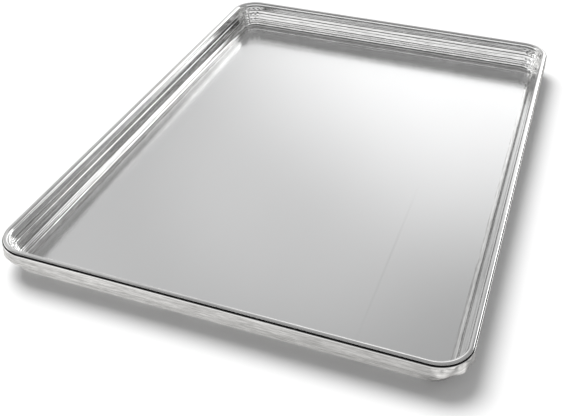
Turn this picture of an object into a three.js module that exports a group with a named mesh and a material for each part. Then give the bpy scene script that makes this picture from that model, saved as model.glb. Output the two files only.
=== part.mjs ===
// Half-size bakery sheet pan: one drawn aluminium sheet, its rim rolled over a steel wire.
// Millimetres, +Z up. The origin is the middle of the footprint, on the surface the pan stands on.
// X runs along the short sides and Y along the long sides.

import * as THREE from "three";
import { mergeVertices } from "three/addons/utils/BufferGeometryUtils.js";

// Overall size, over the rolled rim
const WIDTH = 327;
const LENGTH = 454;
const HEIGHT = 25.4;
const CORNER_RADIUS = 24;

// Sheet and wire
const SHEET = 1;
const WIRE_DIAMETER = 2.6;
const WIRE_CLEARANCE = 0.15;
const WIRE_END_GAP = 0.8;

// Rolled rim: the sheet wraps the wire, drops as a flat outer band and curls in underneath
const RIM_HEIGHT = 11.5;
const CURL_SWEEP = 165;
const CURL_GAP = 0.4;
const NECK_PINCH = 0.4;
const NECK_BEND = 1.6;

// Crease pressed into the rim's outer face, where the bead over the wire meets the band
const CREASE_TURN = 67.5;
const CREASE_DEPTH = 0.6;

// Wall: below the neck it leans in to a waist, then drops more steeply to the foot radius
const SHOULDER_HEIGHT = 17.4;
const SHOULDER_BEND = 1.6;
const WAIST_HEIGHT = 8.7;
const WAIST_INSET = 7.6;
const WAIST_BEND = 4;
const FOOT_INSET = 9.15;
const FOOT_BEND = 4.5;

// Facets: the widest turn, in degrees, that one flat face stands for
const SECTION_TURN = 22.5;
const PLAN_TURN = 11.25;
const WIRE_TURN = 30;

// Sizes that follow from those above. "In" is the distance in from the rim's outer face.
const HALF_SHEET = SHEET / 2;
const RIM_WIDTH = WIRE_DIAMETER + 2 * WIRE_CLEARANCE + 2 * SHEET;
const WIRE_IN = RIM_WIDTH / 2;
const WIRE_HEIGHT = HEIGHT - RIM_WIDTH / 2;
const CREST_BEND = RIM_WIDTH / 2 - HALF_SHEET;
const NECK_IN = RIM_WIDTH - NECK_PINCH - HALF_SHEET;
const CURL_OUTSIDE = (NECK_IN - HALF_SHEET - CURL_GAP) / 2;

const radians = THREE.MathUtils.degToRad;
const creaseAngle = radians(90 + CREASE_TURN);

// Points along a path of lines and arcs, each with its unit normal to the left of travel.
function stations(path, widestTurn) {
  const found = [];
  for (const curve of path.curves) {
    const turn = curve.isEllipseCurve ? Math.abs(curve.aEndAngle - curve.aStartAngle) : 0;
    const steps = Math.max(1, Math.ceil(turn / radians(widestTurn) - 1e-6));
    for (let i = 0; i <= steps; i++) {
      const point = curve.getPoint(i / steps);
      const tangent = curve.getTangent(i / steps);
      const last = found.at(-1);
      if (last && last.point.distanceTo(point) < 1e-6) continue;
      found.push({ point, normal: new THREE.Vector2(-tangent.y, tangent.x) });
    }
  }
  return found;
}

// Adds a straight run towards each corner in turn, rounded there to that corner's bend radius.
function addBends(path, corners, end) {
  corners.forEach(({ corner, bend }, i) => {
    const next = i + 1 < corners.length ? corners[i + 1].corner : end;
    const arrive = corner.clone().sub(path.currentPoint).normalize();
    const leave = next.clone().sub(corner).normalize();
    const turn = Math.atan2(arrive.cross(leave), arrive.dot(leave));
    const side = Math.sign(turn);
    const start = corner.clone().addScaledVector(arrive, -bend * Math.tan(Math.abs(turn) / 2));
    const centre = new THREE.Vector2(-arrive.y, arrive.x).multiplyScalar(side * bend).add(start);
    const from = start.clone().sub(centre).angle();
    path.lineTo(start.x, start.y);
    path.absarc(centre.x, centre.y, bend, from, from + turn, turn < 0);
  });
}

// The middle line of the sheet from the floor's edge to its free edge inside the rim,
// as x = in from the rim's outer face and y = height.
function sheetLine() {
  const foot = new THREE.Vector2(FOOT_INSET, HALF_SHEET);
  const waist = new THREE.Vector2(WAIST_INSET, WAIST_HEIGHT);
  const shoulder = new THREE.Vector2(NECK_IN, SHOULDER_HEIGHT);

  // The neck bends back from the wall into the crest, which wraps more than half of the wire.
  const wrap = Math.acos((NECK_IN + NECK_BEND - WIRE_IN) / (CREST_BEND + NECK_BEND));
  const neckHeight = WIRE_HEIGHT - (CREST_BEND + NECK_BEND) * Math.sin(wrap);
  const curlHeight = HEIGHT - RIM_HEIGHT + CURL_OUTSIDE;
  const curlEnd = Math.PI + radians(CURL_SWEEP);

  const line = new THREE.Path();
  const footTurn = waist.clone().sub(foot).angle();
  line.moveTo(foot.x + FOOT_BEND / Math.tan(footTurn / 2) + SHEET, HALF_SHEET);
  addBends(
    line,
    [
      { corner: foot, bend: FOOT_BEND },
      { corner: waist, bend: WAIST_BEND },
      { corner: shoulder, bend: SHOULDER_BEND },
    ],
    new THREE.Vector2(NECK_IN, neckHeight),
  );
  line.lineTo(NECK_IN, neckHeight);
  line.absarc(NECK_IN + NECK_BEND, neckHeight, NECK_BEND, Math.PI, Math.PI - wrap, true);
  line.absarc(WIRE_IN, WIRE_HEIGHT, CREST_BEND, -wrap, Math.PI / 2, false);
  line.absarc(WIRE_IN, WIRE_HEIGHT, CREST_BEND, Math.PI / 2, creaseAngle, false);
  line.absarc(WIRE_IN, WIRE_HEIGHT, CREST_BEND, creaseAngle, Math.PI, false);
  line.lineTo(HALF_SHEET, curlHeight);
  line.absarc(CURL_OUTSIDE, curlHeight, CURL_OUTSIDE - HALF_SHEET, Math.PI, curlEnd, false);
  return line;
}

// The sheet's closed outline: up one face of its middle line and back down the other.
// The crease takes one point of the first face into the sheet.
function sheetOutline() {
  const middle = stations(sheetLine(), SECTION_TURN);
  const face = (side) =>
    middle.map(({ point, normal }) => point.clone().addScaledVector(normal, side * HALF_SHEET));
  const creased = new THREE.Vector2(Math.cos(creaseAngle), Math.sin(creaseAngle))
    .multiplyScalar(CREST_BEND)
    .add(new THREE.Vector2(WIRE_IN, WIRE_HEIGHT));
  const crease = middle.findIndex(({ point }) => point.distanceTo(creased) < 1e-6);
  const outer = face(-1);
  outer[crease].addScaledVector(middle[crease].normal, CREASE_DEPTH);
  return [...outer, ...face(1).reverse()];
}

// The rim's outer face seen from above, once round, anticlockwise from the middle of the left side.
function planLine(endGap) {
  const x = WIDTH / 2;
  const y = LENGTH / 2;
  const r = CORNER_RADIUS;
  const quarter = Math.PI / 2;
  const plan = new THREE.Path();
  plan.moveTo(-x, -endGap / 2);
  plan.lineTo(-x, r - y);
  plan.absarc(r - x, r - y, r, 2 * quarter, 3 * quarter, false);
  plan.lineTo(x - r, -y);
  plan.absarc(x - r, r - y, r, 3 * quarter, 4 * quarter, false);
  plan.lineTo(x, y - r);
  plan.absarc(x - r, y - r, r, 0, quarter, false);
  plan.lineTo(r - x, y);
  plan.absarc(r - x, y - r, r, quarter, 2 * quarter, false);
  plan.lineTo(-x, endGap / 2);
  return plan;
}

// Carries a closed section round the plan. Each section point is x = in from the plan, y = height.
function sweepRound(section, plan) {
  const corners = [];
  for (const { point, normal } of plan) {
    for (const { x, y } of section) {
      corners.push(new THREE.Vector3(point.x + normal.x * x, point.y + normal.y * x, y));
    }
  }
  return corners;
}

// The two triangles of each four-sided face between neighbouring stations and section points.
function bandFaces(stationCount, pointCount, { loop, closedSection }) {
  const faces = [];
  const lastStation = loop ? stationCount : stationCount - 1;
  const lastPoint = closedSection ? pointCount : pointCount - 1;
  for (let i = 0; i < lastStation; i++) {
    for (let j = 0; j < lastPoint; j++) {
      const near = i * pointCount;
      const far = ((i + 1) % stationCount) * pointCount;
      const next = (j + 1) % pointCount;
      faces.push([near + j, far + next, far + j], [near + j, near + next, far + next]);
    }
  }
  return faces;
}

function meshOf(name, corners, faces, material) {
  const geometry = new THREE.BufferGeometry().setFromPoints(corners).setIndex(faces.flat());
  const merged = mergeVertices(geometry, 1e-5);
  merged.computeVertexNormals();
  const mesh = new THREE.Mesh(merged, material);
  mesh.name = name;
  return mesh;
}

// The pan itself: floor, wall and rolled rim in one sheet. The section runs round the plan,
// and the floor closes its two open edges, above and below.
function panShell(material) {
  const section = sheetOutline();
  const plan = stations(planLine(0), PLAN_TURN).slice(0, -1);
  const corners = sweepRound(section, plan);
  const faces = bandFaces(plan.length, section.length, { loop: true, closedSection: false });
  const inside = section.length - 1;
  const edgeOf = (point) => plan.map((_, i) => i * section.length + point);
  for (const [edge, up] of [[edgeOf(0), true], [edgeOf(inside), false]]) {
    const outline = edge.map((index) => new THREE.Vector2(corners[index].x, corners[index].y));
    for (const [a, b, c] of THREE.ShapeUtils.triangulateShape(outline, [])) {
      faces.push(up ? [edge[a], edge[b], edge[c]] : [edge[c], edge[b], edge[a]]);
    }
  }
  return meshOf("pan_shell", corners, faces, material);
}

// The wire in the rim: one length bent round the pan, its two ends butted on the left side.
function rimWire(material) {
  const sides = 360 / WIRE_TURN;
  const section = Array.from({ length: sides }, (_, i) => {
    const angle = radians(i * WIRE_TURN);
    const radius = WIRE_DIAMETER / 2;
    return new THREE.Vector2(WIRE_IN + radius * Math.cos(angle), WIRE_HEIGHT + radius * Math.sin(angle));
  });
  const plan = stations(planLine(WIRE_END_GAP), PLAN_TURN);
  const corners = sweepRound(section, plan);
  const faces = bandFaces(plan.length, sides, { loop: false, closedSection: true });
  const lastRing = (plan.length - 1) * sides;
  for (let i = 1; i + 1 < sides; i++) {
    faces.push([0, i + 1, i], [lastRing, lastRing + i, lastRing + i + 1]);
  }
  return meshOf("rim_wire", corners, faces, material);
}

const aluminium = new THREE.MeshStandardMaterial({ color: 0xc6c8ca, roughness: 0.32, metalness: 1 });
const galvanisedSteel = new THREE.MeshStandardMaterial({ color: 0x8e9295, roughness: 0.5, metalness: 1 });

const sheetPan = new THREE.Group();
sheetPan.add(panShell(aluminium), rimWire(galvanisedSteel));

export default sheetPan;
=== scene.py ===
import bpy
import math
from mathutils import Matrix, Vector, noise


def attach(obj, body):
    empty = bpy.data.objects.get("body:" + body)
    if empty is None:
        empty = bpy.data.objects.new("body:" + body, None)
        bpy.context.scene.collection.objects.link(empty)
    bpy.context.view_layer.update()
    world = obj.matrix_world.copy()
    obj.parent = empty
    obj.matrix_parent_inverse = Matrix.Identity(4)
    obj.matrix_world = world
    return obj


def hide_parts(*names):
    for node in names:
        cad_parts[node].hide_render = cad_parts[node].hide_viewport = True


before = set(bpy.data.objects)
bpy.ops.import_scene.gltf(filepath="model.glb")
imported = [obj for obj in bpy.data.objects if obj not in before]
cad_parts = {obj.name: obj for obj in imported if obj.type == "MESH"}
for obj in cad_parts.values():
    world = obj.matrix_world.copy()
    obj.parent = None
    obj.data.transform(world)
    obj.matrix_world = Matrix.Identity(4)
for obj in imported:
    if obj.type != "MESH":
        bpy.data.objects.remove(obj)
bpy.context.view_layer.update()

MM = 0.001

# The pan's own sizes, in millimetres, as in the CAD part
WIDTH = 327.0
LENGTH = 454.0
HEIGHT = 25.4
CORNER_RADIUS = 24.0
SHEET = 1.0
WIRE_DIAMETER = 2.6
WIRE_CLEARANCE = 0.15
RIM_HEIGHT = 11.5
CURL_SWEEP = 165.0
CURL_GAP = 0.4
NECK_PINCH = 0.4
NECK_BEND = 1.6
SHOULDER_HEIGHT = 17.4
SHOULDER_BEND = 1.6
WAIST_HEIGHT = 8.7
WAIST_INSET = 7.6
WAIST_BEND = 4.0
FOOT_INSET = 9.15
FOOT_BEND = 4.5

# Marks that drawing leaves in the wall: narrow ledges, each with its height, the slope by which it
# tips the face back and its half width, and fine ripples, each with its depth and length
DRAW_LEDGES = (
    (17.0, 0.2, 0.3),
    (14.1, 0.36, 0.28),
    (11.6, 0.12, 0.3),
    (8.6, 0.34, 0.4),
    (6.9, -0.3, 0.3),
    (5.0, -0.45, 0.4),
)
DRAW_RIPPLES = ((0.012, 2.3), (0.008, 1.25), (0.006, 0.83))
RIPPLE_STRENGTH = 0.7
RIPPLE_VARIES = 0.6
RIPPLE_VARIES_PER_METRE = 9.0
RIPPLE_PHASE = 1.7
RIPPLE_SWAY = 0.8
RIPPLE_SWAYS_PER_METRE = 6.0
DRAWN_FROM = 1.5
DRAWN_TO = 19.5
DRAWN_FADE = 0.8

# Puckers that run up the drawn corners
PUCKER = 0.16
PUCKERS_PER_CORNER = 6
PUCKER_SWAY = 3.0
PUCKER_SWAYS_PER_METRE = 40.0
PUCKER_SWAYS_PER_MM_UP = 0.4

# Crease in the outer face, where the bead over the wire meets the outer band
CREASE_HEIGHT = 24.1
CREASE_WIDTH = 1.5
CREASE_DEPTH = 0.6

# The outer band out of true: how far it stands proud, its lean along the sides, its lean in the
# crumpled front right corner with the share of it in the other corners, and shallow dents
BAND_PROUD = 0.2
BAND_FLARE = 0.05
BAND_LEAN = 0.09
BAND_LEANS_PER_METRE = 30.0
BAND_CORNER_LEAN = 0.28
OTHER_CRUMPLE = 0.3
CRUMPLES_PER_CORNER = 2.7
CRUMPLE_START = 0.344
CRUMPLE_OFFSET = 0.6
BAND_DENT = 0.12
BAND_DENTS_PER_METRE = 90.0
BAND_DENTS_PER_MM_UP = 0.3
BAND_MIDDLE = 19.0
BAND_LOW = 15.0
BAND_HIGH = 22.8
BAND_FADE = 1.0

# Rows and layers of the chance field, so that each kind of mark has its own
SWAY_ROW = 3.1
RIPPLE_ROW_STEP = 7.7
RIPPLE_LAYER = 1.3
PUCKER_LAYER = 5.0
LEAN_ROW = 11.0
DENT_LAYER = 21.0

# How finely the shell is divided, in degrees, millimetres and counts
SECTION_TURN = 4.5
SECTION_RUN = 0.2
CORNER_STEPS = 40
SIDE_RUN = 3.5
FLOOR_RINGS = 14
SAME_POINT = 1e-6

# Where one metal of the shell gives way to the next, as heights, and the largest upward share of
# the normal of a face that counts as upright
BAND_TOP = 24.0
PAINTED_HIGHLIGHT_FROM = 22.5
BEAD_FROM = 22.4
UPRIGHT = 0.9

# Sizes that follow from those above. "In" is the distance in from the rim's outer face.
HALF_SHEET = SHEET / 2
RIM_WIDTH = WIRE_DIAMETER + 2 * WIRE_CLEARANCE + 2 * SHEET
WIRE_IN = RIM_WIDTH / 2
WIRE_HEIGHT = HEIGHT - RIM_WIDTH / 2
CREST_BEND = RIM_WIDTH / 2 - HALF_SHEET
NECK_IN = RIM_WIDTH - NECK_PINCH - HALF_SHEET
CURL_OUTSIDE = (NECK_IN - HALF_SHEET - CURL_GAP) / 2


# The sheet's section, as x = in from the rim's outer face and y = height

class SheetLine:
    """The middle line of the sheet, as points with a unit normal to the left of travel."""

    def __init__(self, start):
        self.at = Vector(start)
        self.points = []

    def add(self, point, normal):
        if self.points and (self.points[-1][0] - point).length < SAME_POINT:
            return
        self.points.append((point, normal))

    def line_to(self, end):
        end = Vector(end)
        way = end - self.at
        steps = max(1, math.ceil(way.length / SECTION_RUN))
        along = way.normalized()
        for i in range(steps + 1):
            self.add(self.at + way * (i / steps), Vector((-along.y, along.x)))
        self.at = end

    def arc(self, centre, radius, start, end):
        steps = max(2, math.ceil(abs(end - start) / math.radians(SECTION_TURN)))
        side = 1 if end > start else -1
        for i in range(steps + 1):
            angle = start + (end - start) * i / steps
            out = Vector((math.cos(angle), math.sin(angle)))
            self.at = Vector(centre) + out * radius
            self.add(self.at, -side * out)

    def bends(self, corners, end):
        """Straight runs towards each corner in turn, rounded there to that corner's bend."""
        for i, (corner, bend) in enumerate(corners):
            corner = Vector(corner)
            after = Vector(corners[i + 1][0] if i + 1 < len(corners) else end)
            arrive = (corner - self.at).normalized()
            leave = (after - corner).normalized()
            turn = math.atan2(arrive.x * leave.y - arrive.y * leave.x, arrive.dot(leave))
            side = 1 if turn > 0 else -1
            start = corner - arrive * bend * math.tan(abs(turn) / 2)
            centre = start + Vector((-arrive.y, arrive.x)) * side * bend
            from_angle = math.atan2(start.y - centre.y, start.x - centre.x)
            self.line_to(start)
            self.arc(centre, bend, from_angle, from_angle + turn)


def sheet_line():
    """The middle line from the floor's edge over the rim to the free edge inside it."""
    foot = Vector((FOOT_INSET, HALF_SHEET))
    waist = Vector((WAIST_INSET, WAIST_HEIGHT))
    shoulder = Vector((NECK_IN, SHOULDER_HEIGHT))
    reach = CREST_BEND + NECK_BEND
    wrap = math.acos((NECK_IN + NECK_BEND - WIRE_IN) / reach)
    neck_height = WIRE_HEIGHT - reach * math.sin(wrap)
    curl_height = HEIGHT - RIM_HEIGHT + CURL_OUTSIDE
    curl_end = math.pi + math.radians(CURL_SWEEP)
    foot_turn = math.atan2(waist.y - foot.y, waist.x - foot.x)

    line = SheetLine((foot.x + FOOT_BEND / math.tan(foot_turn / 2) + SHEET, HALF_SHEET))
    line.bends([(foot, FOOT_BEND), (waist, WAIST_BEND), (shoulder, SHOULDER_BEND)],
               (NECK_IN, neck_height))
    line.line_to((NECK_IN, neck_height))
    line.arc((NECK_IN + NECK_BEND, neck_height), NECK_BEND, math.pi, math.pi - wrap)
    line.arc((WIRE_IN, WIRE_HEIGHT), CREST_BEND, -wrap, math.pi / 2)
    line.arc((WIRE_IN, WIRE_HEIGHT), CREST_BEND, math.pi / 2, math.pi)
    line.line_to((HALF_SHEET, curl_height))
    line.arc((CURL_OUTSIDE, curl_height), CURL_OUTSIDE - HALF_SHEET, math.pi, curl_end)
    return line.points


def sheet_faces(middle):
    """The sheet's shown face and then, backwards, its hidden one, and the points in the crease."""
    faces = [p - n * HALF_SHEET for p, n in middle]
    faces += [p + n * HALF_SHEET for p, n in reversed(middle)]
    creased = []
    for j, (p, n) in enumerate(middle):
        share = abs(p.y - n.y * HALF_SHEET - CREASE_HEIGHT) / (CREASE_WIDTH / 2)
        if p.x < WIRE_IN and share < 1 and n.x > 0:
            faces[j] = faces[j] + n * CREASE_DEPTH * (1 - share * share)
            creased.append(j)
    return faces, creased


# Marks of drawing and rolling, by height in millimetres, metres round the pan and, in a corner, how
# far round that corner, from nought to one

def faded(height, low, high, fade):
    """One between two heights, falling over the fade to nothing at both of them."""
    rise = min(1.0, max(0.0, (height - low) / fade))
    return rise * min(1.0, max(0.0, (high - height) / fade))


def swelling(corner):
    """From nothing at both ends of a corner to one in its middle."""
    return math.sin(math.pi * corner) ** 0.5


def ledges(height):
    """How far the ledges set the wall inwards, from nothing at both ends of the draw."""
    def steps(at_height):
        return sum(-tip * width * math.sqrt(math.pi) / 2 * math.erf((at_height - at) / width)
                   for at, tip, width in DRAW_LEDGES)
    share = (height - DRAWN_FROM) / (DRAWN_TO - DRAWN_FROM)
    return steps(height) - steps(DRAWN_FROM) * (1 - share) - steps(DRAWN_TO) * share


def draw_mark(height, around, corner):
    """How far the drawn wall stands proud, inwards."""
    mark = ledges(height)
    sway = noise.noise((around * RIPPLE_SWAYS_PER_METRE, SWAY_ROW, 0.0))
    for i, (depth, length) in enumerate(DRAW_RIPPLES):
        chance = noise.noise((around * RIPPLE_VARIES_PER_METRE, RIPPLE_ROW_STEP * i, RIPPLE_LAYER))
        strength = RIPPLE_STRENGTH + RIPPLE_VARIES * chance
        wave = 2 * math.pi * height / length + RIPPLE_PHASE * i + RIPPLE_SWAY * sway
        mark += depth * strength * math.sin(wave)
    if corner is not None:
        chance = noise.noise((around * PUCKER_SWAYS_PER_METRE, height * PUCKER_SWAYS_PER_MM_UP,
                              PUCKER_LAYER))
        wave = 2 * math.pi * PUCKERS_PER_CORNER * corner + PUCKER_SWAY * chance
        mark += PUCKER * swelling(corner) * math.sin(wave)
    return mark * faded(height, DRAWN_FROM, DRAWN_TO, DRAWN_FADE)


def band_mark(height, around, corner, crumple):
    """How far the outer band stands out of true, inwards."""
    chance = noise.noise((around * BAND_LEANS_PER_METRE, LEAN_ROW, 0.0))
    lean = BAND_FLARE + BAND_LEAN * chance
    if corner is not None:
        turns = CRUMPLES_PER_CORNER * corner - CRUMPLE_START
        wave = CRUMPLE_OFFSET + math.sin(2 * math.pi * turns)
        lean += crumple * BAND_CORNER_LEAN * swelling(corner) * wave
    dent = BAND_DENT * noise.noise((around * BAND_DENTS_PER_METRE, height * BAND_DENTS_PER_MM_UP,
                                    DENT_LAYER))
    mark = lean * (height - BAND_MIDDLE) + dent - BAND_PROUD
    return mark * faded(height, BAND_LOW, BAND_HIGH, BAND_FADE)


# The shell

FLOOR_FACE = -1
UNDER_FACE = -2
UV_NAME = "sheet"


def plan_stations():
    """Points round the rim's outer face, each with its inward normal and how far round its corner
    it is, or None along a side. They start in the middle of the far right corner, where the seam
    in the grain shows least."""
    x, y, r = WIDTH / 2 - CORNER_RADIUS, LENGTH / 2 - CORNER_RADIUS, CORNER_RADIUS
    middles = [((x, y), 0.0), ((-x, y), 90.0), ((-x, -y), 180.0), ((x, -y), 270.0)]
    half = CORNER_STEPS // 2
    found = []

    def corner(middle, start, first, last):
        for i in range(first, last + 1):
            angle = math.radians(start + 90.0 * i / CORNER_STEPS)
            out = Vector((math.cos(angle), math.sin(angle)))
            found.append((Vector(middle) + out * r, -out, i / CORNER_STEPS))

    corner(*middles[0], half, CORNER_STEPS)
    for middle, start in [*middles[1:], middles[0]]:
        near = found[-1][0]
        angle = math.radians(start)
        out = Vector((math.cos(angle), math.sin(angle)))
        way = Vector(middle) + out * r - near
        steps = max(2, round(way.length / SIDE_RUN))
        for i in range(1, steps):
            found.append((near + way * (i / steps), -out, None))
        last = half - 1 if (middle, start) == middles[0] else CORNER_STEPS
        corner(middle, start, 0, last)
    return found


def lengths_along(points):
    """How far along a row of points each one is, in metres."""
    lengths = [0.0]
    for a, b in zip(points, points[1:]):
        lengths.append(lengths[-1] + (b - a).length * MM)
    return lengths


def swept_points(middle, section, plan, around):
    """The section carried round the plan, with the marks of drawing and rolling."""
    count = len(middle)
    heights = [p.y for p, _ in middle]
    neck_start = next(i for i, h in enumerate(heights) if h > DRAWN_TO)
    band_start = next(i for i in range(neck_start, count)
                      if middle[i][0].x < HALF_SHEET + SAME_POINT)
    verts = []
    for (at, inward, corner), way in zip(plan, around):
        crumple = 1.0 if at.x > 0 > at.y else OTHER_CRUMPLE
        marks = [draw_mark(h, way, corner) for h in heights[:neck_start]]
        marks += [0.0] * (band_start - neck_start)
        marks += [band_mark(h, way, corner, crumple) for h in heights[band_start:]]
        for p, mark in zip(section, marks + marks[::-1]):
            deep = p.x + mark
            verts.append((at.x + inward.x * deep, at.y + inward.y * deep, p.y))
    return verts


def add_floor(verts, faces, edge, upper):
    """Closes an edge of the swept sheet by rings that shrink to a hub, and counts their faces."""
    outline = [verts[i] for i in edge]
    rings = len(edge)
    previous = edge
    made = []
    for k in range(1, FLOOR_RINGS):
        share = 1 - k / FLOOR_RINGS
        ring = list(range(len(verts), len(verts) + rings))
        verts.extend((x * share, y * share, z) for x, y, z in outline)
        for i in range(rings):
            j = (i + 1) % rings
            made.append((previous[i], previous[j], ring[j], ring[i]))
        previous = ring
    hub = len(verts)
    verts.append((0.0, 0.0, outline[0][2]))
    for i in range(rings):
        made.append((previous[i], previous[(i + 1) % rings], hub))
    faces.extend(face if upper else face[::-1] for face in made)
    return len(made)


def lay_uv(mesh, part, points, rings, around, along):
    """UV in metres: round the rim and along the section, or x and y on the floor."""
    uv = mesh.uv_layers.new(name=UV_NAME)
    for face, place in zip(mesh.polygons, part):
        last_station = face.index // (points - 1) == rings - 1
        for loop in face.loop_indices:
            v = mesh.loops[loop].vertex_index
            if place >= 0:
                station = v // points
                if station == 0 and last_station:
                    station = rings
                uv.data[loop].uv = (around[station], along[v % points])
            else:
                uv.data[loop].uv = mesh.vertices[v].co.xy


def build_shell():
    """The shell, each face's place along the section, how many points the shown face of the
    section has, and which of them lie in the crease."""
    middle = sheet_line()
    section, creased = sheet_faces(middle)
    plan = plan_stations()
    points = len(section)
    rings = len(plan)
    around = lengths_along([at for at, _, _ in [*plan, plan[0]]])
    verts = swept_points(middle, section, plan, around)
    faces, part = [], []
    for i in range(rings):
        near, far = i * points, ((i + 1) % rings) * points
        for j in range(points - 1):
            faces.append((near + j, near + j + 1, far + j + 1, far + j))
            part.append(j)
    for point, place in ((0, FLOOR_FACE), (points - 1, UNDER_FACE)):
        edge = [i * points + point for i in range(rings)]
        part += [place] * add_floor(verts, faces, edge, place == FLOOR_FACE)

    mesh = bpy.data.meshes.new("pan_shell_skin")
    mesh.from_pydata([(x * MM, y * MM, z * MM) for x, y, z in verts], [], faces)
    mesh.update()
    for face in mesh.polygons:
        face.use_smooth = True
    lay_uv(mesh, part, points, rings, around, lengths_along(section))
    made = bpy.data.objects.new("pan_shell_skin", mesh)
    bpy.context.collection.objects.link(made)
    return made, part, len(middle), creased


# Nodes

# Sockets of a Mix node, by their place among its inputs and outputs
MIX_FACTOR = 0
MIX_VALUES = (2, 3)
MIX_COLOURS = (6, 7)
MIX_VALUE_RESULT = 0
MIX_COLOUR_RESULT = 2


class Tree:
    """The nodes of a material or a world, with short ways to add to them."""

    def __init__(self, owner):
        owner.use_nodes = True
        self.nodes = owner.node_tree.nodes
        self.links = owner.node_tree.links

    def feed(self, socket, value):
        """Links another node's output to a socket, or sets the socket to a fixed value."""
        if isinstance(value, bpy.types.NodeSocket):
            self.links.new(value, socket)
        else:
            socket.default_value = value

    def math(self, operation, first, *others):
        """Takes each of the others in turn into the first by one operation."""
        for other in others:
            node = self.nodes.new("ShaderNodeMath")
            node.operation = operation
            self.feed(node.inputs[0], first)
            self.feed(node.inputs[1], other)
            first = node.outputs[0]
        return first

    def rest_of(self, value):
        return self.math("SUBTRACT", 1.0, value)

    def vector_math(self, operation, first, second=None, result="Vector"):
        node = self.nodes.new("ShaderNodeVectorMath")
        node.operation = operation
        self.feed(node.inputs[0], first)
        if second is not None:
            self.feed(node.inputs[1], second)
        return node.outputs[result]

    def parts(self, vector):
        node = self.nodes.new("ShaderNodeSeparateXYZ")
        self.feed(node.inputs[0], vector)
        return node.outputs

    def ranged(self, value, low, high, to_low=0.0, to_high=1.0, smooth=False):
        node = self.nodes.new("ShaderNodeMapRange")
        if smooth:
            node.interpolation_type = "SMOOTHSTEP"
        self.feed(node.inputs["From Min"], low)
        self.feed(node.inputs["From Max"], high)
        self.feed(node.inputs["To Min"], to_low)
        self.feed(node.inputs["To Max"], to_high)
        self.feed(node.inputs["Value"], value)
        return node.outputs["Result"]

    def mixed(self, factor, first, second):
        node = self.nodes.new("ShaderNodeMix")
        self.feed(node.inputs[MIX_FACTOR], factor)
        for place, value in zip(MIX_VALUES, (first, second)):
            self.feed(node.inputs[place], value)
        return node.outputs[MIX_VALUE_RESULT]

    def mixed_colour(self, factor, first, second):
        node = self.nodes.new("ShaderNodeMix")
        node.data_type = "RGBA"
        self.feed(node.inputs[MIX_FACTOR], factor)
        for place, colour in zip(MIX_COLOURS, (first, second)):
            self.feed(node.inputs[place], (*colour, 1))
        return node.outputs[MIX_COLOUR_RESULT]

    def uv(self):
        node = self.nodes.new("ShaderNodeUVMap")
        node.uv_map = UV_NAME
        return node.outputs["UV"]

    def stretched_noise(self, source, per_metre, detail):
        """Noise with its own number of swings per metre in each direction of its source."""
        mapping = self.nodes.new("ShaderNodeMapping")
        self.feed(mapping.inputs["Vector"], source)
        self.feed(mapping.inputs["Scale"], per_metre)
        texture = self.nodes.new("ShaderNodeTexNoise")
        self.feed(texture.inputs["Vector"], mapping.outputs["Vector"])
        self.feed(texture.inputs["Scale"], 1.0)
        self.feed(texture.inputs["Detail"], detail)
        return texture.outputs["Fac"]

    def bump(self, height, strength, distance):
        node = self.nodes.new("ShaderNodeBump")
        self.feed(node.inputs["Height"], height)
        self.feed(node.inputs["Strength"], strength)
        self.feed(node.inputs["Distance"], distance)
        return node.outputs["Normal"]


def material(name):
    made = bpy.data.materials.new(name)
    tree = Tree(made)
    return made, tree, tree.nodes["Principled BSDF"].inputs


# Metals

# The parts of the noise's range that are spread over the whole range of tone and of roughness
TONE_RANGE = (0.36, 0.64)
ROUGH_RANGE = (0.3, 0.7)
GRAIN_DETAIL = 3.0
CLOUD_DETAIL = 2.0
GRAIN_SHARE = 0.5
GRAIN_DEPTH = 0.04 * MM


def aluminium(name, grain, cloud, dark, light, rough, bump):
    """Rolled or drawn aluminium. Its grain and its clouding are given as swings per metre in the
    two UV directions, and run along the one with fewer."""
    made, tree, surface = material(name)
    uv = tree.uv()
    fine = tree.stretched_noise(uv, grain, GRAIN_DETAIL)
    soft = tree.stretched_noise(uv, cloud, CLOUD_DETAIL)
    tone = tree.mixed(GRAIN_SHARE, tree.ranged(soft, *TONE_RANGE), tree.ranged(fine, *TONE_RANGE))
    tree.feed(surface["Base Color"], tree.mixed_colour(tone, dark, light))
    tree.feed(surface["Roughness"], tree.ranged(fine, *ROUGH_RANGE, *rough))
    tree.feed(surface["Normal"], tree.bump(fine, bump, GRAIN_DEPTH))
    tree.feed(surface["Metallic"], 1.0)
    return made


def dimmed_line(metal, at, start, end, width, dimming):
    """A straight darker line in the sheet along the second UV direction. It dims the
    metal most in the middle of its width and length, in metres, and fades out from there."""
    tree = Tree(metal)
    place = tree.parts(tree.uv())
    middle = (start + end) / 2
    line = tree.math(
        "MULTIPLY",
        tree.ranged(place["X"], at - width / 2, at, 0.0, dimming),
        tree.ranged(place["X"], at, at + width / 2, 1.0, 0.0),
        tree.ranged(place["Y"], start, middle, 0.0, 1.0),
        tree.ranged(place["Y"], middle, end, 1.0, 0.0),
    )
    base = tree.nodes["Principled BSDF"].inputs["Base Color"]
    colour = base.links[0].from_socket
    tree.feed(base, tree.vector_math("MULTIPLY", colour, tree.rest_of(line)))


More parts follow.
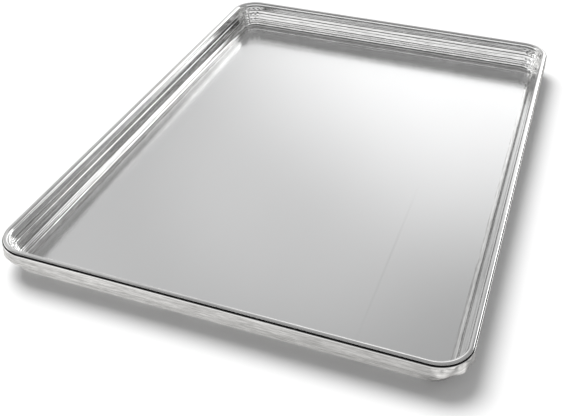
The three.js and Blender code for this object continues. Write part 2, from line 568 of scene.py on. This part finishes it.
shell, part, section_count, creased = build_shell()
shell_metals = [
    aluminium("aluminium_floor", grain=(2200, 60, 1), cloud=(30, 12, 1),
              dark=(0.875, 0.878, 0.881), light=(0.885, 0.887, 0.889),
              rough=(0.15, 0.17), bump=0.008),
    aluminium("aluminium_wall", grain=(110, 1200, 1), cloud=(25, 600, 1),
              dark=(0.62, 0.618, 0.612), light=(0.97, 0.968, 0.962),
              rough=(0.04, 0.10), bump=0.8),
    aluminium("aluminium_underside", grain=(700, 30, 1), cloud=(26, 14, 1),
              dark=(0.74, 0.74, 0.735), light=(0.84, 0.84, 0.835),
              rough=(0.34, 0.46), bump=0.1),
    aluminium("aluminium_rim", grain=(160, 1300, 1), cloud=(40, 500, 1),
              dark=(0.50, 0.497, 0.49), light=(0.90, 0.897, 0.89),
              rough=(0.12, 0.26), bump=0.9),
    # The crease's near-black metal is painted shade in the groove
    aluminium("aluminium_crease_painted_shade", grain=(40, 1900, 1), cloud=(60, 260, 1),
              dark=(0.012, 0.012, 0.012), light=(0.02, 0.02, 0.02),
              rough=(0.45, 0.6), bump=0.1),
    # The edge of the band below the crease: a painted highlight, as a near-white, glossier metal
    aluminium("aluminium_painted_highlight", grain=(90, 900, 1), cloud=(40, 300, 1),
              dark=(0.96, 0.958, 0.955), light=(0.98, 0.978, 0.975),
              rough=(0.10, 0.16), bump=0.2),
    # The bead over the wire, more even and a little duller than the drawn wall
    aluminium("aluminium_bead", grain=(90, 1200, 1), cloud=(30, 600, 1),
              dark=(0.78, 0.778, 0.774), light=(0.97, 0.968, 0.964),
              rough=(0.07, 0.13), bump=0.4),
]
FLOOR, WALL, UNDERSIDE, RIM, CREASE, PAINTED_HIGHLIGHT, BEAD = range(len(shell_metals))
dimmed_line(shell_metals[FLOOR], at=0.0902, start=-0.225, end=0.0, width=0.003, dimming=0.06)


def metal_of(face, place):
    """Which of the shell's metals a face has, by its place along the section."""
    if place == FLOOR_FACE:
        return FLOOR
    if place == UNDER_FACE:
        return UNDERSIDE
    # Faces in the crease get the near-black painted shade
    if place in creased[:-1]:
        return CREASE
    height = face.center.z
    hidden = place >= section_count - 1
    outer = (place > section_count // 2 and height < BAND_TOP * MM
             and abs(face.normal.z) < UPRIGHT)
    if hidden or outer:
        # The strip of the band just below the crease gets the painted highlight
        in_painted_highlight = PAINTED_HIGHLIGHT_FROM * MM < height < CREASE_HEIGHT * MM
        return PAINTED_HIGHLIGHT if in_painted_highlight and place < section_count else RIM
    return BEAD if height > BEAD_FROM * MM else WALL


for metal in shell_metals:
    shell.data.materials.append(metal)
for face, place in zip(shell.data.polygons, part):
    face.material_index = metal_of(face, place)
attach(shell, "root")
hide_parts("pan_shell")

SPANGLES_PER_METRE = (900, 900, 900)
SPANGLE_DETAIL = 2.0
SPANGLE_DARK = (0.42, 0.43, 0.44)
SPANGLE_LIGHT = (0.62, 0.63, 0.64)
SPANGLE_ROUGH = (0.4, 0.6)
wire_metal, tree, surface = material("galvanised_wire")
coordinates = tree.nodes.new("ShaderNodeTexCoord").outputs["Object"]
spangle = tree.stretched_noise(coordinates, SPANGLES_PER_METRE, SPANGLE_DETAIL)
tree.feed(surface["Base Color"], tree.mixed_colour(spangle, SPANGLE_DARK, SPANGLE_LIGHT))
tree.feed(surface["Roughness"], tree.ranged(spangle, *ROUGH_RANGE, *SPANGLE_ROUGH))
tree.feed(surface["Metallic"], 1.0)
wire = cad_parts["rim_wire"]
wire.data.materials.clear()
wire.data.materials.append(wire_metal)


# Studio: the paper that the pan stands on

PAPER_REACH = 6.0
PAPER_DROP = 0.2 * MM
PAPER_COLOUR = (0.92, 0.92, 0.92, 1)
MIRRORED_COLOUR = (1.0, 0.992, 0.98, 1)
RIGHT_EDGE = WIDTH / 2 * MM
FRONT_EDGE = -LENGTH / 2 * MM

# How bright the paper glows in the pan's mirror, with painted shade in that glow. Each ramp has its
# two ends, in metres, and the
#  level at each: from the pan outwards, far off behind and beside it, in its painted shadow on the
#      right,
#  left of and before that shadow, and dimmer towards the right up to the corner.
NEAR_PAN = (0.0, 0.05, 0.72, 1.0)
FAR_OFF = (0.30, 0.70, 1.0, 0.35)
SHADOW = (RIGHT_EDGE, RIGHT_EDGE + 0.05, 0.35, 1.0)
LEFT_OF_SHADOW = (RIGHT_EDGE - 0.03, RIGHT_EDGE - 0.01, 1.0, 0.0)
BEFORE_SHADOW = (FRONT_EDGE - 0.005, FRONT_EDGE + 0.02, 1.0, 0.0)
TOWARDS_RIGHT = (-0.08, 0.16, 1.0, 0.74)
RIGHT_CORNER = (0.125, 0.15, 0.0, 1.0)

floor_mesh = bpy.data.meshes.new("studio_floor")
floor_mesh.from_pydata([(-PAPER_REACH, -PAPER_REACH, 0), (PAPER_REACH, -PAPER_REACH, 0),
                        (PAPER_REACH, PAPER_REACH, 0), (-PAPER_REACH, PAPER_REACH, 0)],
                       [], [(0, 1, 2, 3)])
studio_floor = bpy.data.objects.new("studio_floor", floor_mesh)
studio_floor.location.z = -PAPER_DROP
bpy.context.collection.objects.link(studio_floor)

paper, tree, surface = material("studio_paper")
tree.feed(surface["Base Color"], PAPER_COLOUR)
tree.feed(surface["Roughness"], 1.0)
tree.feed(surface["Specular IOR Level"], 0.0)
position = tree.nodes.new("ShaderNodeNewGeometry").outputs["Position"]
place = tree.parts(position)
outward = tree.vector_math("ABSOLUTE", position)
beyond = tree.parts(tree.vector_math("SUBTRACT", outward, (RIGHT_EDGE, -FRONT_EDGE, 0)))
level = tree.math(
    "MULTIPLY",
    tree.ranged(tree.math("MAXIMUM", beyond["X"], beyond["Y"]), *NEAR_PAN),
    tree.ranged(tree.math("MAXIMUM", beyond["X"], place["Y"]), *FAR_OFF),
    tree.math("MAXIMUM", tree.ranged(place["X"], *SHADOW),
              tree.ranged(place["X"], *LEFT_OF_SHADOW), tree.ranged(place["Y"], *BEFORE_SHADOW)),
    tree.math("MAXIMUM", tree.ranged(place["X"], *TOWARDS_RIGHT),
              tree.ranged(place["X"], *RIGHT_CORNER)),
)
# Glossy and transmission rays see the paper as this glow instead of the lit paper. Its level
# carries the painted shadow and dimming above.
mirrored = tree.nodes.new("ShaderNodeEmission")
tree.feed(mirrored.inputs["Color"], MIRRORED_COLOUR)
tree.feed(mirrored.inputs["Strength"], level)
ray = tree.nodes.new("ShaderNodeLightPath").outputs
both = tree.nodes.new("ShaderNodeMixShader")
tree.feed(both.inputs[0], tree.math("MAXIMUM", ray["Is Glossy Ray"], ray["Is Transmission Ray"]))
tree.feed(both.inputs[1], tree.nodes["Principled BSDF"].outputs[0])
tree.feed(both.inputs[2], mirrored.outputs[0])
tree.feed(tree.nodes["Material Output"].inputs["Surface"], both.outputs[0])
floor_mesh.materials.append(paper)


# Studio: the light around the pan

STUDIO_LEVEL = 0.35
BACKGROUND_LEVEL = 1.0
FRONT_DIM = 0.75
FRONT_LAMP = 0.68
LOW_DIM = 0.65

# Bands of the studio by one component of the direction: where the front starts and is full, and
# for the others, by height, where they start, are full, start to fall and end
FRONT = (0.0, -0.40)
FRONT_DARK_BAND = (0.40, 0.47, 0.72, 0.90)
FRONT_LAMP_BAND = (0.03, 0.10, 0.38, 0.45)
LOW_BAND = (-0.05, 0.03, 0.20, 0.26)
SIDE_LAMP_BAND = (0.12, 0.20, 0.40, 0.48)

KEY_HEADING = -55
KEY_HEIGHT = 57
KEY_ENERGY = 2.9
KEY_ANGLE = 38

world = bpy.data.worlds.new("studio")
bpy.context.scene.world = world
studio = Tree(world)
direction = studio.nodes.new("ShaderNodeTexCoord").outputs["Generated"]
axes = studio.parts(direction)


def towards(azimuth, elevation):
    """The unit direction at an azimuth, from +Y towards +X, and an elevation, in degrees."""
    az, el = math.radians(azimuth), math.radians(elevation)
    return Vector((math.sin(az) * math.cos(el), math.cos(az) * math.cos(el), math.sin(el)))


def lobe(azimuth, elevation, inner, outer, strength):
    """Light from a soft patch of the studio, full up to the inner angle from its middle and
    fading to nothing at the outer one."""
    dot = studio.vector_math("DOT_PRODUCT", direction, towards(azimuth, elevation), "Value")
    return studio.ranged(dot, math.cos(math.radians(outer)), math.cos(math.radians(inner)),
                         0.0, strength, smooth=True)


def band(component, low, low_full, high_full, high):
    """One where a component of the direction lies between two values, with soft limits."""
    return studio.math("MULTIPLY", studio.ranged(component, low, low_full, smooth=True),
                       studio.ranged(component, high, high_full, smooth=True))


light = studio.math(
    "ADD",
    lobe(azimuth=3.5, elevation=4, inner=14, outer=39.5, strength=1.08),
    lobe(azimuth=-17, elevation=34.5, inner=4, outer=14, strength=0.17),
    lobe(azimuth=-94, elevation=12, inner=10, outer=26, strength=0.8),
    lobe(azimuth=-4, elevation=43, inner=3, outer=13, strength=0.07),
    lobe(azimuth=-60, elevation=25, inner=10, outer=50, strength=0.27),
    STUDIO_LEVEL,
)
# In front of the pan the studio is dark above a low, wide lamp
front = studio.ranged(axes["Y"], *FRONT, smooth=True)
front_dark = studio.math("MULTIPLY", band(axes["Z"], *FRONT_DARK_BAND), front, FRONT_DIM)
light = studio.math("MULTIPLY", light, studio.rest_of(front_dark))
front_lamp = studio.math("MULTIPLY", band(axes["Z"], *FRONT_LAMP_BAND), front, FRONT_LAMP)
light = studio.math("ADD", light, front_lamp)
# Everywhere else it is dim low down, apart from one lamp behind on the right
low_dark = studio.math("MULTIPLY", band(axes["Z"], *LOW_BAND), studio.rest_of(front), LOW_DIM)
light = studio.math("MULTIPLY", light, studio.rest_of(low_dark))
side_lamp = lobe(azimuth=35, elevation=16, inner=9, outer=18, strength=1.95)
side_lamp = studio.math("MULTIPLY", side_lamp, band(axes["Z"], *SIDE_LAMP_BAND))
light = studio.math("ADD", light, side_lamp)
ray = studio.nodes.new("ShaderNodeLightPath").outputs
background = studio.nodes["Background"].inputs
studio.feed(background["Color"], (1, 1, 1, 1))
studio.feed(background["Strength"], studio.mixed(ray["Is Camera Ray"], light, BACKGROUND_LEVEL))

key_data = bpy.data.lights.new("key", "SUN")
key_data.energy = KEY_ENERGY
key_data.angle = math.radians(KEY_ANGLE)
key = bpy.data.objects.new("key", key_data)
key.rotation_euler = towards(KEY_HEADING, KEY_HEIGHT).to_track_quat("Z", "Y").to_euler()
key.visible_glossy = False
bpy.context.collection.objects.link(key)


# Camera, as fitted to the photograph

CAMERA_AT = (0.171056, -0.558645, 0.379257)
CAMERA_HEADING = -19.908
CAMERA_DOWN = 36.903
CAMERA_ROLL = math.radians(-0.394)
FOCAL_PIXELS = 815.889
IMAGE_WIDTH_PIXELS = 569
SENSOR_WIDTH = 36.0
CLIP_START = 0.01

camera_data = bpy.data.cameras.new("camera")
camera_data.sensor_width = SENSOR_WIDTH
camera_data.lens = SENSOR_WIDTH * FOCAL_PIXELS / IMAGE_WIDTH_PIXELS
camera_data.clip_start = CLIP_START
camera = bpy.data.objects.new("camera", camera_data)
forward = towards(CAMERA_HEADING, -CAMERA_DOWN)
right = towards(CAMERA_HEADING + 90, 0)
down = forward.cross(right)
rolled = math.cos(CAMERA_ROLL) * right + math.sin(CAMERA_ROLL) * down
lower = math.cos(CAMERA_ROLL) * down - math.sin(CAMERA_ROLL) * right
turned = Matrix((rolled, -lower, -forward)).transposed().to_4x4()
camera.matrix_world = Matrix.Translation(CAMERA_AT) @ turned
bpy.context.collection.objects.link(camera)
bpy.context.scene.camera = camera
bpy.context.scene.view_settings.view_transform = "Standard"
